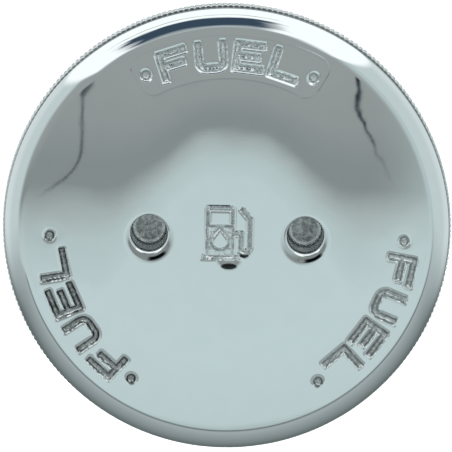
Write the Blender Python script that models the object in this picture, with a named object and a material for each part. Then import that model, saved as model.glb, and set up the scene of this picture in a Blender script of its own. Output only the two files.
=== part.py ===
"""Deck fill cap: a screw-in cap with a knurled rim, its seal and its chain swivel.

Run with: blender --background --python part.py

Metres, +Z up. The cap stands on the lower rim of its threaded spigot, so the origin
is the centre of that rim and +Z is the cap's axis, pointing out of the deck. +Y is
the way up for the fuel symbol on its face.
"""

import math

import bmesh
import bpy
from mathutils import Matrix, Vector

MM = 0.001
GAP = 0.3 * MM          # between pieces that touch or nearly touch
STEP = 0.05 * MM        # keeps two faces of one piece from lying in the same plane

# Head: domed face, rounded shoulder, knurled rim.
CAP_DIAMETER = 63.5 * MM
CAP_HEIGHT = 21.3 * MM
SEAT_HEIGHT = 12.5 * MM
RIM_HEIGHT = 4.0 * MM
DOME_RADIUS = 180.0 * MM
SHOULDER_START = 28.6 * MM
SHOULDER_POWER = 2.2
SEAT_CHAMFER = 0.35 * MM
KNURL_TEETH = 252
KNURL_DEPTH = 0.2 * MM
KNURL_STAND = 0.3 * MM   # how far the teeth stand out past the rolled edge
KNURL_DROP = 1.5 * MM    # from the rolled edge's end down to the teeth
LATHE_SEGMENTS = 72

# Spigot: thread outside, hollow inside.
SPIGOT_RADIUS = 23.75 * MM
CAVITY_RADIUS = 20.8 * MM
CAVITY_CEILING = 17.6 * MM
CAVITY_FILLET = 2.5 * MM
SPIGOT_CHAMFER = 0.6 * MM
THREAD_RADIUS = 25.0 * MM
THREAD_PITCH = 25.4 * MM / 8
THREAD_TURNS = 2.25
THREAD_START = 2.5 * MM
THREAD_BASE = 2.3 * MM
THREAD_TIP = 0.7 * MM
THREAD_STEPS = 60
THREAD_FADE = 6

# Seal.
SEAL_SECTION_RADIUS = 1.5 * MM
SEAL_GROOVE_DEPTH = 2.3 * MM
SEAL_SEGMENTS = 60

# Two blind holes for the pin spanner.
PIN_HOLE_SPACING = 22.0 * MM
PIN_HOLE_RADIUS = 2.6 * MM
PIN_HOLE_DEPTH = 5.7 * MM
PIN_HOLE_LIP = 1.4 * MM
PIN_PAD_RADIUS = 4.6 * MM
PIN_PAD_HEIGHT = 13.9 * MM

# Sunk legend and fuel symbol.
LEGEND_DEPTH = 0.6 * MM
LEGEND_RADIUS = 25.0 * MM
LEGEND_CENTRES = (90.0, 210.0, 330.0)
LETTER_PITCH = 12.2
DOT_OFFSET = 28.0
LETTER_WIDTH = 4.6 * MM
LETTER_HEIGHT = 4.45 * MM
LETTER_STROKE = 1.15 * MM
DOT_RADIUS = 0.8 * MM
SYMBOL_DEPTH = 0.7 * MM
SYMBOL_CENTRE = -1.0 * MM
PUMP_WIDTH = 4.1 * MM
PUMP_TOP = 4.15 * MM
PUMP_BASE = -3.7 * MM
PUMP_CORNER = 0.5 * MM
FLANGE_WIDTH = 5.2 * MM
FLANGE_HEIGHT = 0.7 * MM
HOSE_STROKE = 0.75 * MM
HOSE_OUTLET = 0.1 * MM
HOSE_NEAR = 1.95 * MM
HOSE_FAR = 3.2 * MM
HOSE_U_HEIGHT = -1.75 * MM
HOSE_ELBOW = 2.2 * MM
NOZZLE_TIP = (1.95 * MM, 3.7 * MM)
WINDOW_WIDTH = 2.9 * MM
WINDOW_BOTTOM = 1.3 * MM
WINDOW_TOP = 3.25 * MM
DROP_RADIUS = 1.05 * MM
DROP_CENTRE = -1.05 * MM
DROP_TIP = 0.7 * MM

# Swivel stack under the centre boss: washer, bent tab, shoulder screw.
BOSS_RADIUS = 5.0 * MM
BOSS_BOTTOM = 14.9 * MM
SCREW_HEAD_RADIUS = 4.5 * MM
SCREW_HEAD_HEIGHT = 2.0 * MM
SCREW_SHOULDER_RADIUS = 2.6 * MM
SCREW_THREAD_RADIUS = 2.0 * MM
SCREW_TOP = 18.5 * MM
SCREW_SLOT_WIDTH = 1.2 * MM
SCREW_SLOT_DEPTH = 1.0 * MM
WASHER_RADIUS = 4.9 * MM
WASHER_THICKNESS = 0.8 * MM
TAB_THICKNESS = 1.2 * MM
TAB_EYE_RADIUS = 5.0 * MM
TAB_HALF_WIDTH = 3.2 * MM
TAB_BEND_START = 8.2 * MM
TAB_BEND_RADIUS = 0.8 * MM
TAB_BEND_STEPS = 6
TAB_HOLE_RADIUS = 1.5 * MM
TAB_HOLE_DROP = 2.1 * MM
RING_RADIUS = 3.6 * MM
RING_WIRE_RADIUS = 0.6 * MM
RING_SLIT_ANGLE = -65.0
RING_SLIT = 5.0

# Worked out from the dimensions above.
CAP_RADIUS = CAP_DIAMETER / 2
WALL_RADIUS = CAP_RADIUS - KNURL_STAND
RIM_TOP = SEAT_HEIGHT + RIM_HEIGHT
SEAL_RADIUS = SPIGOT_RADIUS + GAP + SEAL_SECTION_RADIUS
GROOVE_RADIUS = SEAL_RADIUS + SEAL_SECTION_RADIUS + GAP
SEAL_HEIGHT = SEAT_HEIGHT + SEAL_GROOVE_DEPTH - GAP - SEAL_SECTION_RADIUS
WASHER_BOTTOM = BOSS_BOTTOM - GAP - WASHER_THICKNESS
TAB_BOTTOM = WASHER_BOTTOM - GAP - TAB_THICKNESS
SCREW_HEAD_TOP = TAB_BOTTOM - GAP
TAB_HOLE_HEIGHT = TAB_BOTTOM - TAB_BEND_RADIUS - TAB_HOLE_DROP
TAB_LEG_X = TAB_BEND_START + TAB_BEND_RADIUS + TAB_THICKNESS / 2
RING_PIVOT_HEIGHT = TAB_HOLE_HEIGHT - TAB_HOLE_RADIUS + RING_WIRE_RADIUS + GAP


def remove_everything():
    for thing in list(bpy.data.objects):
        bpy.data.objects.remove(thing, do_unlink=True)


def make_material(name, colour, roughness, metallic):
    material = bpy.data.materials.new(name)
    material.use_nodes = True
    shader = material.node_tree.nodes["Principled BSDF"]
    shader.inputs["Base Color"].default_value = (*colour, 1.0)
    shader.inputs["Roughness"].default_value = roughness
    shader.inputs["Metallic"].default_value = metallic
    return material


def add_object(name, bm, material=None, location=(0, 0, 0), smooth=35.0):
    bmesh.ops.recalc_face_normals(bm, faces=bm.faces)
    mesh = bpy.data.meshes.new(name)
    bm.to_mesh(mesh)
    bm.free()
    mesh.shade_smooth()
    mesh.set_sharp_from_angle(angle=math.radians(smooth))
    thing = bpy.data.objects.new(name, mesh)
    thing.location = location
    if material:
        mesh.materials.append(material)
    bpy.context.scene.collection.objects.link(thing)
    return thing


def as_tool(thing):
    """Marks an object as a cutter or an addition, which isn't a piece itself."""
    thing.hide_render = True
    thing.display_type = "WIRE"
    return thing


def boolean(target, tool, operation):
    as_tool(tool)
    step = target.modifiers.new(f"{operation.lower()}_{tool.name}", "BOOLEAN")
    step.operation = operation
    step.solver = "EXACT"
    step.object = tool


def cut_all(target, tools, name):
    group = bpy.data.collections.new(name)
    bpy.context.scene.collection.children.link(group)
    for tool in tools:
        bpy.context.scene.collection.objects.unlink(as_tool(tool))
        group.objects.link(tool)
    step = target.modifiers.new(f"cut_{name}", "BOOLEAN")
    step.operation = "DIFFERENCE"
    step.solver = "EXACT"
    step.operand_type = "COLLECTION"
    step.collection = group


def on_circle(radius, degrees, centre=(0.0, 0.0)):
    angle = math.radians(degrees)
    return (centre[0] + radius * math.cos(angle), centre[1] + radius * math.sin(angle))


def arc(radius, first, last, steps, centre=(0.0, 0.0)):
    return [on_circle(radius, first + (last - first) * i / steps, centre) for i in range(steps + 1)]


def circle(radius, count, centre=(0.0, 0.0)):
    return [on_circle(radius, 360.0 * i / count, centre) for i in range(count)]


def lathe(profile, segments, closed=False):
    """Turns (radius, height) points about Z. An open profile starts and ends on the axis."""
    bm = bmesh.new()
    points = [bm.verts.new((radius, 0, height)) for radius, height in profile]
    pairs = list(zip(points, points[1:]))
    if closed:
        pairs.append((points[-1], points[0]))
    edges = [bm.edges.new(pair) for pair in pairs]
    bmesh.ops.spin(bm, geom=points + edges, axis=(0, 0, 1), cent=(0, 0, 0),
                   angle=math.tau, steps=segments, use_merge=True)
    bmesh.ops.remove_doubles(bm, verts=bm.verts, dist=0.001 * MM)
    return bm


def prism(outline, bottom, top, holes=()):
    """Extrudes a flat outline, with holes through it, from one height to another."""
    bm = bmesh.new()
    edges = []
    for loop in (outline, *holes):
        points = [bm.verts.new((x, y, bottom)) for x, y in loop]
        edges += [bm.edges.new((a, b)) for a, b in zip(points, points[1:] + points[:1])]
    bmesh.ops.triangle_fill(bm, use_beauty=True, use_dissolve=not holes, edges=edges)
    made = bmesh.ops.extrude_face_region(bm, geom=bm.faces[:])
    moved = [item for item in made["geom"] if isinstance(item, bmesh.types.BMVert)]
    bmesh.ops.translate(bm, verts=moved, vec=(0, 0, top - bottom))
    return bm


def box(low, high):
    bm = bmesh.new()
    bmesh.ops.create_cube(bm, size=1.0)
    for vertex in bm.verts:
        vertex.co = Vector([a + (b - a) * (c + 0.5) for a, b, c in zip(low, high, vertex.co)])
    return bm


def face_height(radius):
    """Height of the polished face: a shallow dome that rolls over into the shoulder."""
    drop = DOME_RADIUS - math.sqrt(DOME_RADIUS ** 2 - radius ** 2)
    if radius > SHOULDER_START:
        dome_edge = DOME_RADIUS - math.sqrt(DOME_RADIUS ** 2 - WALL_RADIUS ** 2)
        fall = CAP_HEIGHT - RIM_TOP - dome_edge
        share = min(1.0, (radius - SHOULDER_START) / (WALL_RADIUS - SHOULDER_START))
        drop += fall * (1 - (1 - share ** SHOULDER_POWER) ** (1 / SHOULDER_POWER))
    return CAP_HEIGHT - drop


def head_profile():
    """The face from its centre out, the rim, the seat and the seal's groove."""
    dome = [SHOULDER_START * share for share in (0.0, 0.28, 0.52, 0.72, 0.88, 1.0)]
    shoulder = [SHOULDER_START + (WALL_RADIUS - SHOULDER_START) * share
                for share in (0.3, 0.52, 0.7, 0.83, 0.92, 0.975, 1.0)]
    face = [(radius, face_height(radius)) for radius in dome + shoulder]
    rim = [
        (WALL_RADIUS, SEAT_HEIGHT + SEAT_CHAMFER),
        (WALL_RADIUS - SEAT_CHAMFER, SEAT_HEIGHT),
    ]
    groove = [
        (GROOVE_RADIUS, SEAT_HEIGHT),
        (GROOVE_RADIUS, SEAT_HEIGHT + SEAL_GROOVE_DEPTH),
        (SPIGOT_RADIUS, SEAT_HEIGHT + SEAL_GROOVE_DEPTH),
    ]
    return face + rim + groove


def spigot_profile():
    """The spigot's outside down to its rim, and its hollow up to the ceiling's centre."""
    fillet_centre = (CAVITY_RADIUS - CAVITY_FILLET, CAVITY_CEILING - CAVITY_FILLET)
    outside = [
        (SPIGOT_RADIUS, SPIGOT_CHAMFER),
        (SPIGOT_RADIUS - SPIGOT_CHAMFER, 0.0),
        (CAVITY_RADIUS + SPIGOT_CHAMFER, 0.0),
        (CAVITY_RADIUS, SPIGOT_CHAMFER),
    ]
    return outside + arc(CAVITY_FILLET, 0, 90, 4, fillet_centre) + [(0.0, CAVITY_CEILING)]


def knurl_ring():
    """A band of straight V teeth that stands on the rim's wall."""
    teeth = []
    for tooth in range(KNURL_TEETH):
        turn = 360.0 * tooth / KNURL_TEETH
        teeth.append(on_circle(CAP_RADIUS, turn))
        teeth.append(on_circle(CAP_RADIUS - KNURL_DEPTH, turn + 180.0 / KNURL_TEETH))
    inside = circle(WALL_RADIUS - 1.5 * MM, LATHE_SEGMENTS)
    return prism(teeth, SEAT_HEIGHT + SEAT_CHAMFER, RIM_TOP - KNURL_DROP, [inside])


def thread_ridge():
    """A right-hand helical ridge whose two ends sink into the spigot."""
    root = SPIGOT_RADIUS - 0.45 * MM
    steps = round(THREAD_TURNS * THREAD_STEPS)
    bm = bmesh.new()
    loops = []
    for step in range(steps + 1):
        turns = step / THREAD_STEPS
        middle = THREAD_START + THREAD_PITCH * turns
        rise = min(1.0, step / THREAD_FADE, (steps - step) / THREAD_FADE)
        crest = root + (THREAD_RADIUS - root) * (0.2 + 0.8 * rise)
        section = [
            (root, middle - THREAD_BASE / 2),
            (crest, middle - THREAD_TIP / 2),
            (crest, middle + THREAD_TIP / 2),
            (root, middle + THREAD_BASE / 2),
        ]
        loops.append([bm.verts.new((*on_circle(r, 360.0 * turns), z)) for r, z in section])
    for near, far in zip(loops, loops[1:]):
        for i in range(4):
            j = (i + 1) % 4
            bm.faces.new((near[i], far[i], far[j], near[j]))
    bm.faces.new(loops[0])
    bm.faces.new(loops[-1])
    return bm


def pin_hole():
    """A blind round hole whose mouth is rounded over, as a solid to cut away."""
    surface = face_height(PIN_HOLE_SPACING / 2)
    lip_start = surface - PIN_HOLE_LIP * math.sin(math.radians(60))
    lip = [
        (PIN_HOLE_RADIUS + PIN_HOLE_LIP - x, lip_start + y)
        for x, y in arc(PIN_HOLE_LIP, 0, 60, 3)
    ]
    reach = 1.0 * MM
    above = (lip[-1][0] + reach, lip[-1][1] + reach * math.tan(math.radians(30)))
    floor = surface - PIN_HOLE_DEPTH
    return lathe([(0.0, floor), (PIN_HOLE_RADIUS, floor), *lip, above, (0.0, above[1])], 24)


def mirrored(outline):
    """The same points on the other side of the Y axis, in the order that goes on round."""
    return [(-x, y) for x, y in reversed(outline)]


def shifted(outline, across):
    return [(x + across, y) for x, y in outline]


def letter_f():
    right, top, bar = LETTER_WIDTH / 2, LETTER_HEIGHT / 2, LETTER_STROKE
    return [
        (-right, -top), (bar - right, -top), (bar - right, -bar / 2), (0.7 * right, -bar / 2),
        (0.7 * right, bar / 2), (bar - right, bar / 2), (bar - right, top - bar),
        (right, top - bar), (right, top), (-right, top),
    ]


def letter_u():
    right, top, bar = LETTER_WIDTH / 2, LETTER_HEIGHT / 2, LETTER_STROKE
    bend = 1.6 * MM
    centre = bend - right, bend - top
    outer = arc(bend, 180, 270, 4, centre)
    inner = arc(bend - bar, 270, 180, 3, centre)
    half = [(-right, top), *outer]
    inside = [*inner, (bar - right, top)]
    return half + mirrored(half) + mirrored(inside) + inside


def letter_e():
    right, top, bar = LETTER_WIDTH / 2, LETTER_HEIGHT / 2, LETTER_STROKE
    return [
        (-right, -top), (right, -top), (right, bar - top), (bar - right, bar - top),
        (bar - right, -bar / 2), (0.7 * right, -bar / 2), (0.7 * right, bar / 2),
        (bar - right, bar / 2), (bar - right, top - bar), (right, top - bar),
        (right, top), (-right, top),
    ]


def letter_l():
    right, top, bar = LETTER_WIDTH / 2, LETTER_HEIGHT / 2, LETTER_STROKE
    return [
        (-right, -top), (right, -top), (right, bar - top),
        (bar - right, bar - top), (bar - right, top), (-right, top),
    ]


def legend_glyphs():
    """The word FUEL between two dots: each outline with its angle from the word's middle."""
    letters = [letter_f(), letter_u(), letter_e(), letter_l()]
    middle = (len(letters) - 1) / 2
    glyphs = [((middle - i) * LETTER_PITCH, outline) for i, outline in enumerate(letters)]
    dot = circle(DOT_RADIUS, 12)
    return glyphs + [(DOT_OFFSET, dot), (-DOT_OFFSET, dot)]


def stand_on_dome(degrees):
    """Where a glyph sits: its top outward, its depth along the dome's normal."""
    turn = Matrix.Rotation(math.radians(degrees - 90.0), 4, "Z")
    lean = Matrix.Rotation(-math.asin(LEGEND_RADIUS / DOME_RADIUS), 4, "X")
    place = Matrix.Translation((0, LEGEND_RADIUS, face_height(LEGEND_RADIUS)))
    return turn @ place @ lean


def legend_cutters():
    cutters = []
    for word, centre in enumerate(LEGEND_CENTRES):
        for i, (offset, outline) in enumerate(legend_glyphs()):
            bm = prism(outline, -LEGEND_DEPTH, 1.0 * MM)
            cutter = add_object(f"cut_glyph_{word}_{i}", bm)
            cutter.matrix_world = stand_on_dome(centre + offset)
            cutters.append(cutter)
    return cutters


def pump_outline():
    """The pump's body on a wider foot, with round upper corners."""
    half, foot = PUMP_WIDTH / 2, FLANGE_WIDTH / 2
    ledge = PUMP_BASE + FLANGE_HEIGHT
    corner = (half - PUMP_CORNER, PUMP_TOP - PUMP_CORNER)
    side = [(foot, PUMP_BASE), (foot, ledge), (half, ledge), *arc(PUMP_CORNER, 0, 90, 3, corner)]
    return shifted(side + mirrored(side), SYMBOL_CENTRE)


def hose_line():
    """The hose's middle: out of the pump's side, round a U, up to the nozzle."""
    side = SYMBOL_CENTRE + PUMP_WIDTH / 2
    u_radius = (HOSE_FAR - HOSE_NEAR) / 2
    u_turn = arc(u_radius, 180, 360, 6, (HOSE_NEAR + u_radius, HOSE_U_HEIGHT))
    start = [(side - 0.3 * MM, HOSE_OUTLET), (HOSE_NEAR, HOSE_OUTLET)]
    return start + u_turn + [(HOSE_FAR, HOSE_ELBOW), NOZZLE_TIP]


def stroke_outline(line, width):
    """The outline of a line drawn with a square-ended pen."""
    points = [Vector(point) for point in line]
    steps = [(b - a).normalized() for a, b in zip(points, points[1:])]
    left, right = [], []
    for i, point in enumerate(points):
        before, after = steps[max(i - 1, 0)], steps[min(i, len(steps) - 1)]
        along = (before + after).normalized()
        side = Vector((-along.y, along.x)) * (width / 2 / along.dot(after))
        left.append((point + side)[:])
        right.append((point - side)[:])
    return left + right[::-1]


def window_outline():
    half = WINDOW_WIDTH / 2
    side = [(half, WINDOW_BOTTOM), (half, WINDOW_TOP)]
    return shifted(side + mirrored(side), SYMBOL_CENTRE)


def drop_outline():
    """A drop: a round belly whose sides run on, as tangents, to the tip."""
    rise = DROP_TIP - DROP_CENTRE
    touch = math.degrees(math.acos(DROP_RADIUS / rise))
    belly = arc(DROP_RADIUS, 90 + touch, 450 - touch, 12, (0.0, DROP_CENTRE))
    return shifted(belly + [(0.0, DROP_TIP)], SYMBOL_CENTRE)


def cut_symbol(body):
    """Sinks the pump and its hose, and leaves its window and drop standing."""
    floor = CAP_HEIGHT - SYMBOL_DEPTH
    above = CAP_HEIGHT + 1.0 * MM
    hose_outline = stroke_outline(hose_line(), HOSE_STROKE)
    boolean(body, add_object("cut_pump", prism(pump_outline(), floor, above)), "DIFFERENCE")
    boolean(body, add_object("cut_hose", prism(hose_outline, floor + STEP, above)), "DIFFERENCE")
    for name, outline in (("window", window_outline()), ("drop", drop_outline())):
        island = prism(outline, floor - 0.5 * MM, CAP_HEIGHT - STEP)
        boolean(body, add_object(f"add_{name}", island), "UNION")


def add_underside(body):
    """The centre boss with its screw hole, and a pad round each pin hole."""
    overlap = 0.6 * MM
    boss = add_object("add_boss", lathe([
        (0.0, BOSS_BOTTOM), (BOSS_RADIUS, BOSS_BOTTOM),
        (BOSS_RADIUS, CAVITY_CEILING - 0.8 * MM), (BOSS_RADIUS + 0.8 * MM, CAVITY_CEILING),
        (BOSS_RADIUS + 0.8 * MM, CAVITY_CEILING + overlap), (0.0, CAVITY_CEILING + overlap),
    ], 32))
    boolean(body, boss, "UNION")
    for side in (-1, 1):
        pad = add_object(f"add_pad_{side + 1}", prism(
            circle(PIN_PAD_RADIUS, 24, (side * PIN_HOLE_SPACING / 2, 0.0)),
            PIN_PAD_HEIGHT, CAVITY_CEILING + overlap))
        boolean(body, pad, "UNION")
    tapped = prism(circle(SCREW_THREAD_RADIUS + GAP, 24), BOSS_BOTTOM - 1.0 * MM, SCREW_TOP + GAP)
    boolean(body, add_object("cut_screw_hole", tapped), "DIFFERENCE")


def build_body(material):
    profile = head_profile() + spigot_profile()
    body = add_object("cap_body", lathe(profile, LATHE_SEGMENTS), material, smooth=40.0)
    boolean(body, add_object("add_knurl", knurl_ring()), "UNION")
    boolean(body, add_object("add_thread", thread_ridge()), "UNION")
    add_underside(body)
    for side in (-1, 1):
        hole = add_object(f"cut_pin_hole_{side + 1}", pin_hole(),
                          location=(side * PIN_HOLE_SPACING / 2, 0, 0))
        boolean(body, hole, "DIFFERENCE")
    cut_all(body, legend_cutters(), "legend")
    cut_symbol(body)
    return body


def build_seal(material):
    section = circle(SEAL_SECTION_RADIUS, 10, (SEAL_RADIUS, SEAL_HEIGHT))
    return add_object("o_ring", lathe(section, SEAL_SEGMENTS, closed=True), material)


def build_screw(material):
    """A slotted shoulder screw, head down: the shoulder leaves the tab free to turn."""
    bottom = SCREW_HEAD_TOP - SCREW_HEAD_HEIGHT
    crown = 1.1 * MM
    crown_centre = (SCREW_HEAD_RADIUS - crown, bottom + crown)
    shoulder_top = BOSS_BOTTOM - GAP
    point = 0.4 * MM
    profile = [(0.0, bottom), *arc(crown, -90, 0, 4, crown_centre)]
    profile += [
        (SCREW_HEAD_RADIUS, SCREW_HEAD_TOP),
        (SCREW_SHOULDER_RADIUS, SCREW_HEAD_TOP),
        (SCREW_SHOULDER_RADIUS, shoulder_top),
        (SCREW_THREAD_RADIUS, shoulder_top),
        (SCREW_THREAD_RADIUS, SCREW_TOP - point),
        (SCREW_THREAD_RADIUS - point, SCREW_TOP),
        (0.0, SCREW_TOP),
    ]
    screw = add_object("swivel_screw", lathe(profile, 32), material)
    reach = SCREW_HEAD_RADIUS + 1.0 * MM
    half = SCREW_SLOT_WIDTH / 2
    slot = box((-reach, -half, bottom - 1.0 * MM), (reach, half, bottom + SCREW_SLOT_DEPTH))
    boolean(screw, add_object("cut_slot", slot), "DIFFERENCE")
    return screw


def build_washer(material):
    inner = SCREW_SHOULDER_RADIUS + GAP
    section = [
        (inner, WASHER_BOTTOM), (WASHER_RADIUS, WASHER_BOTTOM),
        (WASHER_RADIUS, WASHER_BOTTOM + WASHER_THICKNESS), (inner, WASHER_BOTTOM + WASHER_THICKNESS),
    ]
    return add_object("thrust_washer", lathe(section, 32, closed=True), material)


def bend_down(bm, start):
    """Bends a flat strip, lying along +X on Z = 0, down through a right angle."""
    neutral = TAB_BEND_RADIUS + TAB_THICKNESS / 2
    length = neutral * math.pi / 2
    for step in range(TAB_BEND_STEPS + 1):
        station = (start + length * step / TAB_BEND_STEPS, 0, 0)
        geometry = bm.verts[:] + bm.edges[:] + bm.faces[:]
        bmesh.ops.bisect_plane(bm, geom=geometry, dist=0.001 * MM, plane_co=station,
                               plane_no=(1, 0, 0))
    for vertex in bm.verts:
        past = vertex.co.x - start
        if past <= 0:
            continue
        radius = TAB_BEND_RADIUS + vertex.co.z
        angle = min(past / neutral, math.pi / 2)
        vertex.co.x = start + radius * math.sin(angle)
        vertex.co.z = radius * math.cos(angle) - TAB_BEND_RADIUS - max(0.0, past - length)


def build_tab(material):
    """The stamped tab: an eye round the screw's shoulder and a leg with the ring's hole."""
    bend_length = (TAB_BEND_RADIUS + TAB_THICKNESS / 2) * math.pi / 2
    hole = (TAB_BEND_START + bend_length + TAB_HOLE_DROP, 0.0)
    meet = math.degrees(math.asin(TAB_HALF_WIDTH / TAB_EYE_RADIUS))
    eye = arc(TAB_EYE_RADIUS, meet, 360 - meet, 20)
    outline = eye + arc(TAB_HALF_WIDTH, -90, 90, 10, hole)
    holes = [circle(SCREW_SHOULDER_RADIUS + GAP, 24), circle(TAB_HOLE_RADIUS, 20, hole)]
    bm = prism(outline, 0.0, TAB_THICKNESS, holes)
    bend_down(bm, TAB_BEND_START)
    return add_object("chain_tab", bm, material, location=(0, 0, TAB_BOTTOM))


def build_ring(material, tab):
    """A split wire ring that hangs in the tab's hole. Its origin is where it swings."""
    bm = bmesh.new()
    centre = Vector((0, 0, -RING_RADIUS))
    steps = 32
    loops = []
    for step in range(steps + 1):
        turn = math.radians(RING_SLIT_ANGLE + RING_SLIT / 2 + (360 - RING_SLIT) * step / steps)
        outward = Vector((math.cos(turn), 0, math.sin(turn)))
        middle = centre + outward * RING_RADIUS
        loops.append([
            bm.verts.new(middle + outward * across + Vector((0, side, 0)))
            for across, side in circle(RING_WIRE_RADIUS, 10)
        ])
    for near, far in zip(loops, loops[1:]):
        for i in range(len(near)):
            j = (i + 1) % len(near)
            bm.faces.new((near[i], far[i], far[j], near[j]))
    bm.faces.new(loops[0])
    bm.faces.new(loops[-1])
    ring = add_object("chain_ring", bm, material)
    ring.parent = tab
    ring.location = (TAB_LEG_X, 0, RING_PIVOT_HEIGHT - TAB_BOTTOM)
    return ring


def main():
    remove_everything()
    chrome = make_material("chrome_plate", (0.80, 0.82, 0.83), 0.06, 1.0)
    rubber = make_material("black_nitrile", (0.02, 0.02, 0.02), 0.55, 0.0)
    steel = make_material("stainless_steel", (0.62, 0.61, 0.59), 0.28, 1.0)
    nylon = make_material("white_nylon", (0.82, 0.80, 0.74), 0.45, 0.0)
    build_body(chrome)
    build_seal(rubber)
    build_screw(steel)
    build_washer(nylon)
    tab = build_tab(steel)
    build_ring(steel, tab)


main()
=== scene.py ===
"""Deck fill cap: the detailed visual model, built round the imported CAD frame.

Lengths in the mesh code are millimetres, in the CAD's own frame: +Z is the cap's axis,
+Y is the way up for the fuel symbol, and the cap stands on its spigot's rim at Z = 0.
The dimensions repeat those of the CAD, because this script reads nothing but the frame.
"""

import math

import bmesh
import bpy
import numpy as np
from mathutils import Matrix, Vector, noise
from mathutils.geometry import delaunay_2d_cdt


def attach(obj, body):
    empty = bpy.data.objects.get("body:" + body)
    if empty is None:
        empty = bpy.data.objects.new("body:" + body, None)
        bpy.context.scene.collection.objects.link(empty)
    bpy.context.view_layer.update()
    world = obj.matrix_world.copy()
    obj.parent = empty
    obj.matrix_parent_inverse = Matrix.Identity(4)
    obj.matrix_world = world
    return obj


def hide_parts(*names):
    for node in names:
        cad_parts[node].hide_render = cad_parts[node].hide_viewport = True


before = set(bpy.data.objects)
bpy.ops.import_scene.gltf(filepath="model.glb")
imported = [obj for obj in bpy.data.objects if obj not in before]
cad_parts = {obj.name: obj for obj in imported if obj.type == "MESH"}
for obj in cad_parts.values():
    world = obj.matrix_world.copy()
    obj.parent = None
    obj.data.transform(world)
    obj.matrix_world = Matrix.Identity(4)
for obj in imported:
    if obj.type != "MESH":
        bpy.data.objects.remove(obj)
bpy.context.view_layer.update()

MM = 0.001

# Head.
CAP_RADIUS = 31.75
CAP_HEIGHT = 21.27  # a hair under the facets of the CAD's dome
SEAT_HEIGHT = 12.5
RIM_TOP = 16.5
DOME_RADIUS = 180.0
SHOULDER_START = 28.6
SHOULDER_POWER = 2.2
WALL_RADIUS = 31.45  # the rolled edge's end, which the knurl stands out past
KNURL_TEETH = 252
KNURL_DEPTH = 0.2
KNURL_DROP = 1.5  # from the rolled edge's end down to the teeth
TOOTH = (1.0, 0.92, 0.0, 0.92)  # height of a tooth at its crest, flank, root and flank
RIM_COLUMNS = KNURL_TEETH * len(TOOTH)
FACE_EDGE = 28.2  # where the triangulated face meets the shoulder's rings
LATTICE = 0.11
FINE_REACH = 0.45

# Sunk legend and symbol.
LEGEND_RADIUS = 25.0
LEGEND_CENTRES = (90.0, 210.0, 330.0)
LEGEND_DEPTH = 0.6
LEGEND_LIP = 0.4
LEGEND_LIP_DROP = 0.05
LEGEND_WALL = 0.45  # how far its wall leans in over its depth
LEGEND_DARKENING = (0.0, 0.55, 0.25)  # how dark each word's floor is
LETTER_PITCH = 12.2
LETTER_WIDTH = 4.6
LETTER_HEIGHT = 4.45
LETTER_STROKE = 1.15
LETTER_ROUND = 0.3  # radius of the letters' outward corners
DOT_OFFSET = 28.0
DOT_RADIUS = 0.8
SYMBOL_DEPTH = 0.7
SYMBOL_LIP = 0.4
SYMBOL_LIP_DROP = 0.05
SYMBOL_WALL = 0.45
SYMBOL_CENTRE = -1.0
PUMP_WIDTH = 4.1
PUMP_TOP = 4.15
PUMP_BASE = -3.7
PUMP_CORNER = 0.5
FLANGE_WIDTH = 5.2
FLANGE_HEIGHT = 0.7
HOSE_STROKE = 0.75
HOSE_OUTLET = 0.1
HOSE_NEAR = 1.95
HOSE_FAR = 3.2
HOSE_U_HEIGHT = -1.75
HOSE_ELBOW = 2.2
NOZZLE_TIP = (1.95, 3.7)
WINDOW_WIDTH = 2.9
WINDOW_BOTTOM = 1.3
WINDOW_TOP = 3.25
DROP_RADIUS = 1.05
DROP_CENTRE = -1.05
DROP_TIP = 0.7
# Scoops under the symbol: X and Y of the upper edge's middle, half the width, and the reach down.
SCOOPS = ((0.3, -3.7, 2.4, 1.0), (2.4, -2.4, 1.4, 0.7))
LUMP_HEIGHT = 0.15
LUMP_FREQUENCY = 1.9
BUFF_DIP = 0.012  # how far the face dips round the legend
BUFF_REACH = 1.3
RIDGE_BOX = (1.2, 27.0)  # a fine ridge round the word at +Y: half its height, half its turn
RIDGE_OFFSET = 1.8
RIDGE_HEIGHT = 0.013
RIDGE_WIDTH = 0.16

# Blind holes for the pin spanner.
HOLE_CENTRE = 11.0
HOLE_RADIUS = 2.48  # 0.12 less than the CAD's, as the rolled lip widens its mouth
HOLE_DEPTH = 5.7
HOLE_LIP_WIDE = 2.1  # on the side away from +Y
HOLE_LIP_NARROW = 0.5
HOLE_SPOT_TURN = -70.0  # middle of the dark patch painted on the lip, a painted reflection
HOLE_FILLET = 0.5
HOLE_COLUMNS = 144
HOLE_REACH = 4.9
# How dark the dish is painted on the side away from +Y: a painted reflection.
HOLE_DISH_PAINTED_DARK = 0.3
HOLE_LUMPS = 0.25  # share of the cast lumps' height

# The mask: 0 is polished, 1 rough as cast, 2 rough and dark, and -1 polished and painted dark, as painted
# reflections and painted shade.
SYMBOL_MASKS = (0.5, 0.6)  # its floor, and the foot of its wall
HOLE_WALL_MASK = 0.9
HOLE_FILLET_MASK = 1.25
HOLE_FLOOR_MASK = 1.62
SCOOP_MASK = -0.95
KNURL_MASK = 0.25
SPIGOT_MASK = 0.3
CEILING_MASK = 0.5

# Spigot, thread, hollow, boss and pads.
SPIGOT_COLUMNS = RIM_COLUMNS // 6
SPIGOT_RADIUS = 23.75
CAVITY_RADIUS = 20.8
CEILING = 17.6
CAVITY_FILLET = 2.5
GROOVE_RADIUS = 27.35
GROOVE_TOP = 14.8
THREAD_PITCH = 3.175
THREAD_START = 2.5
THREAD_TURNS = 2.25
THREAD_RADIUS = 25.0
THREAD_ROOT = 23.3
THREAD_HALF_BASE = 1.15
THREAD_HALF_TIP = 0.35
THREAD_FADE = 0.1
THREAD_STEP = 0.2
BOSS_BOTTOM = 14.9
PAD_BOTTOM = 13.9

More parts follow.
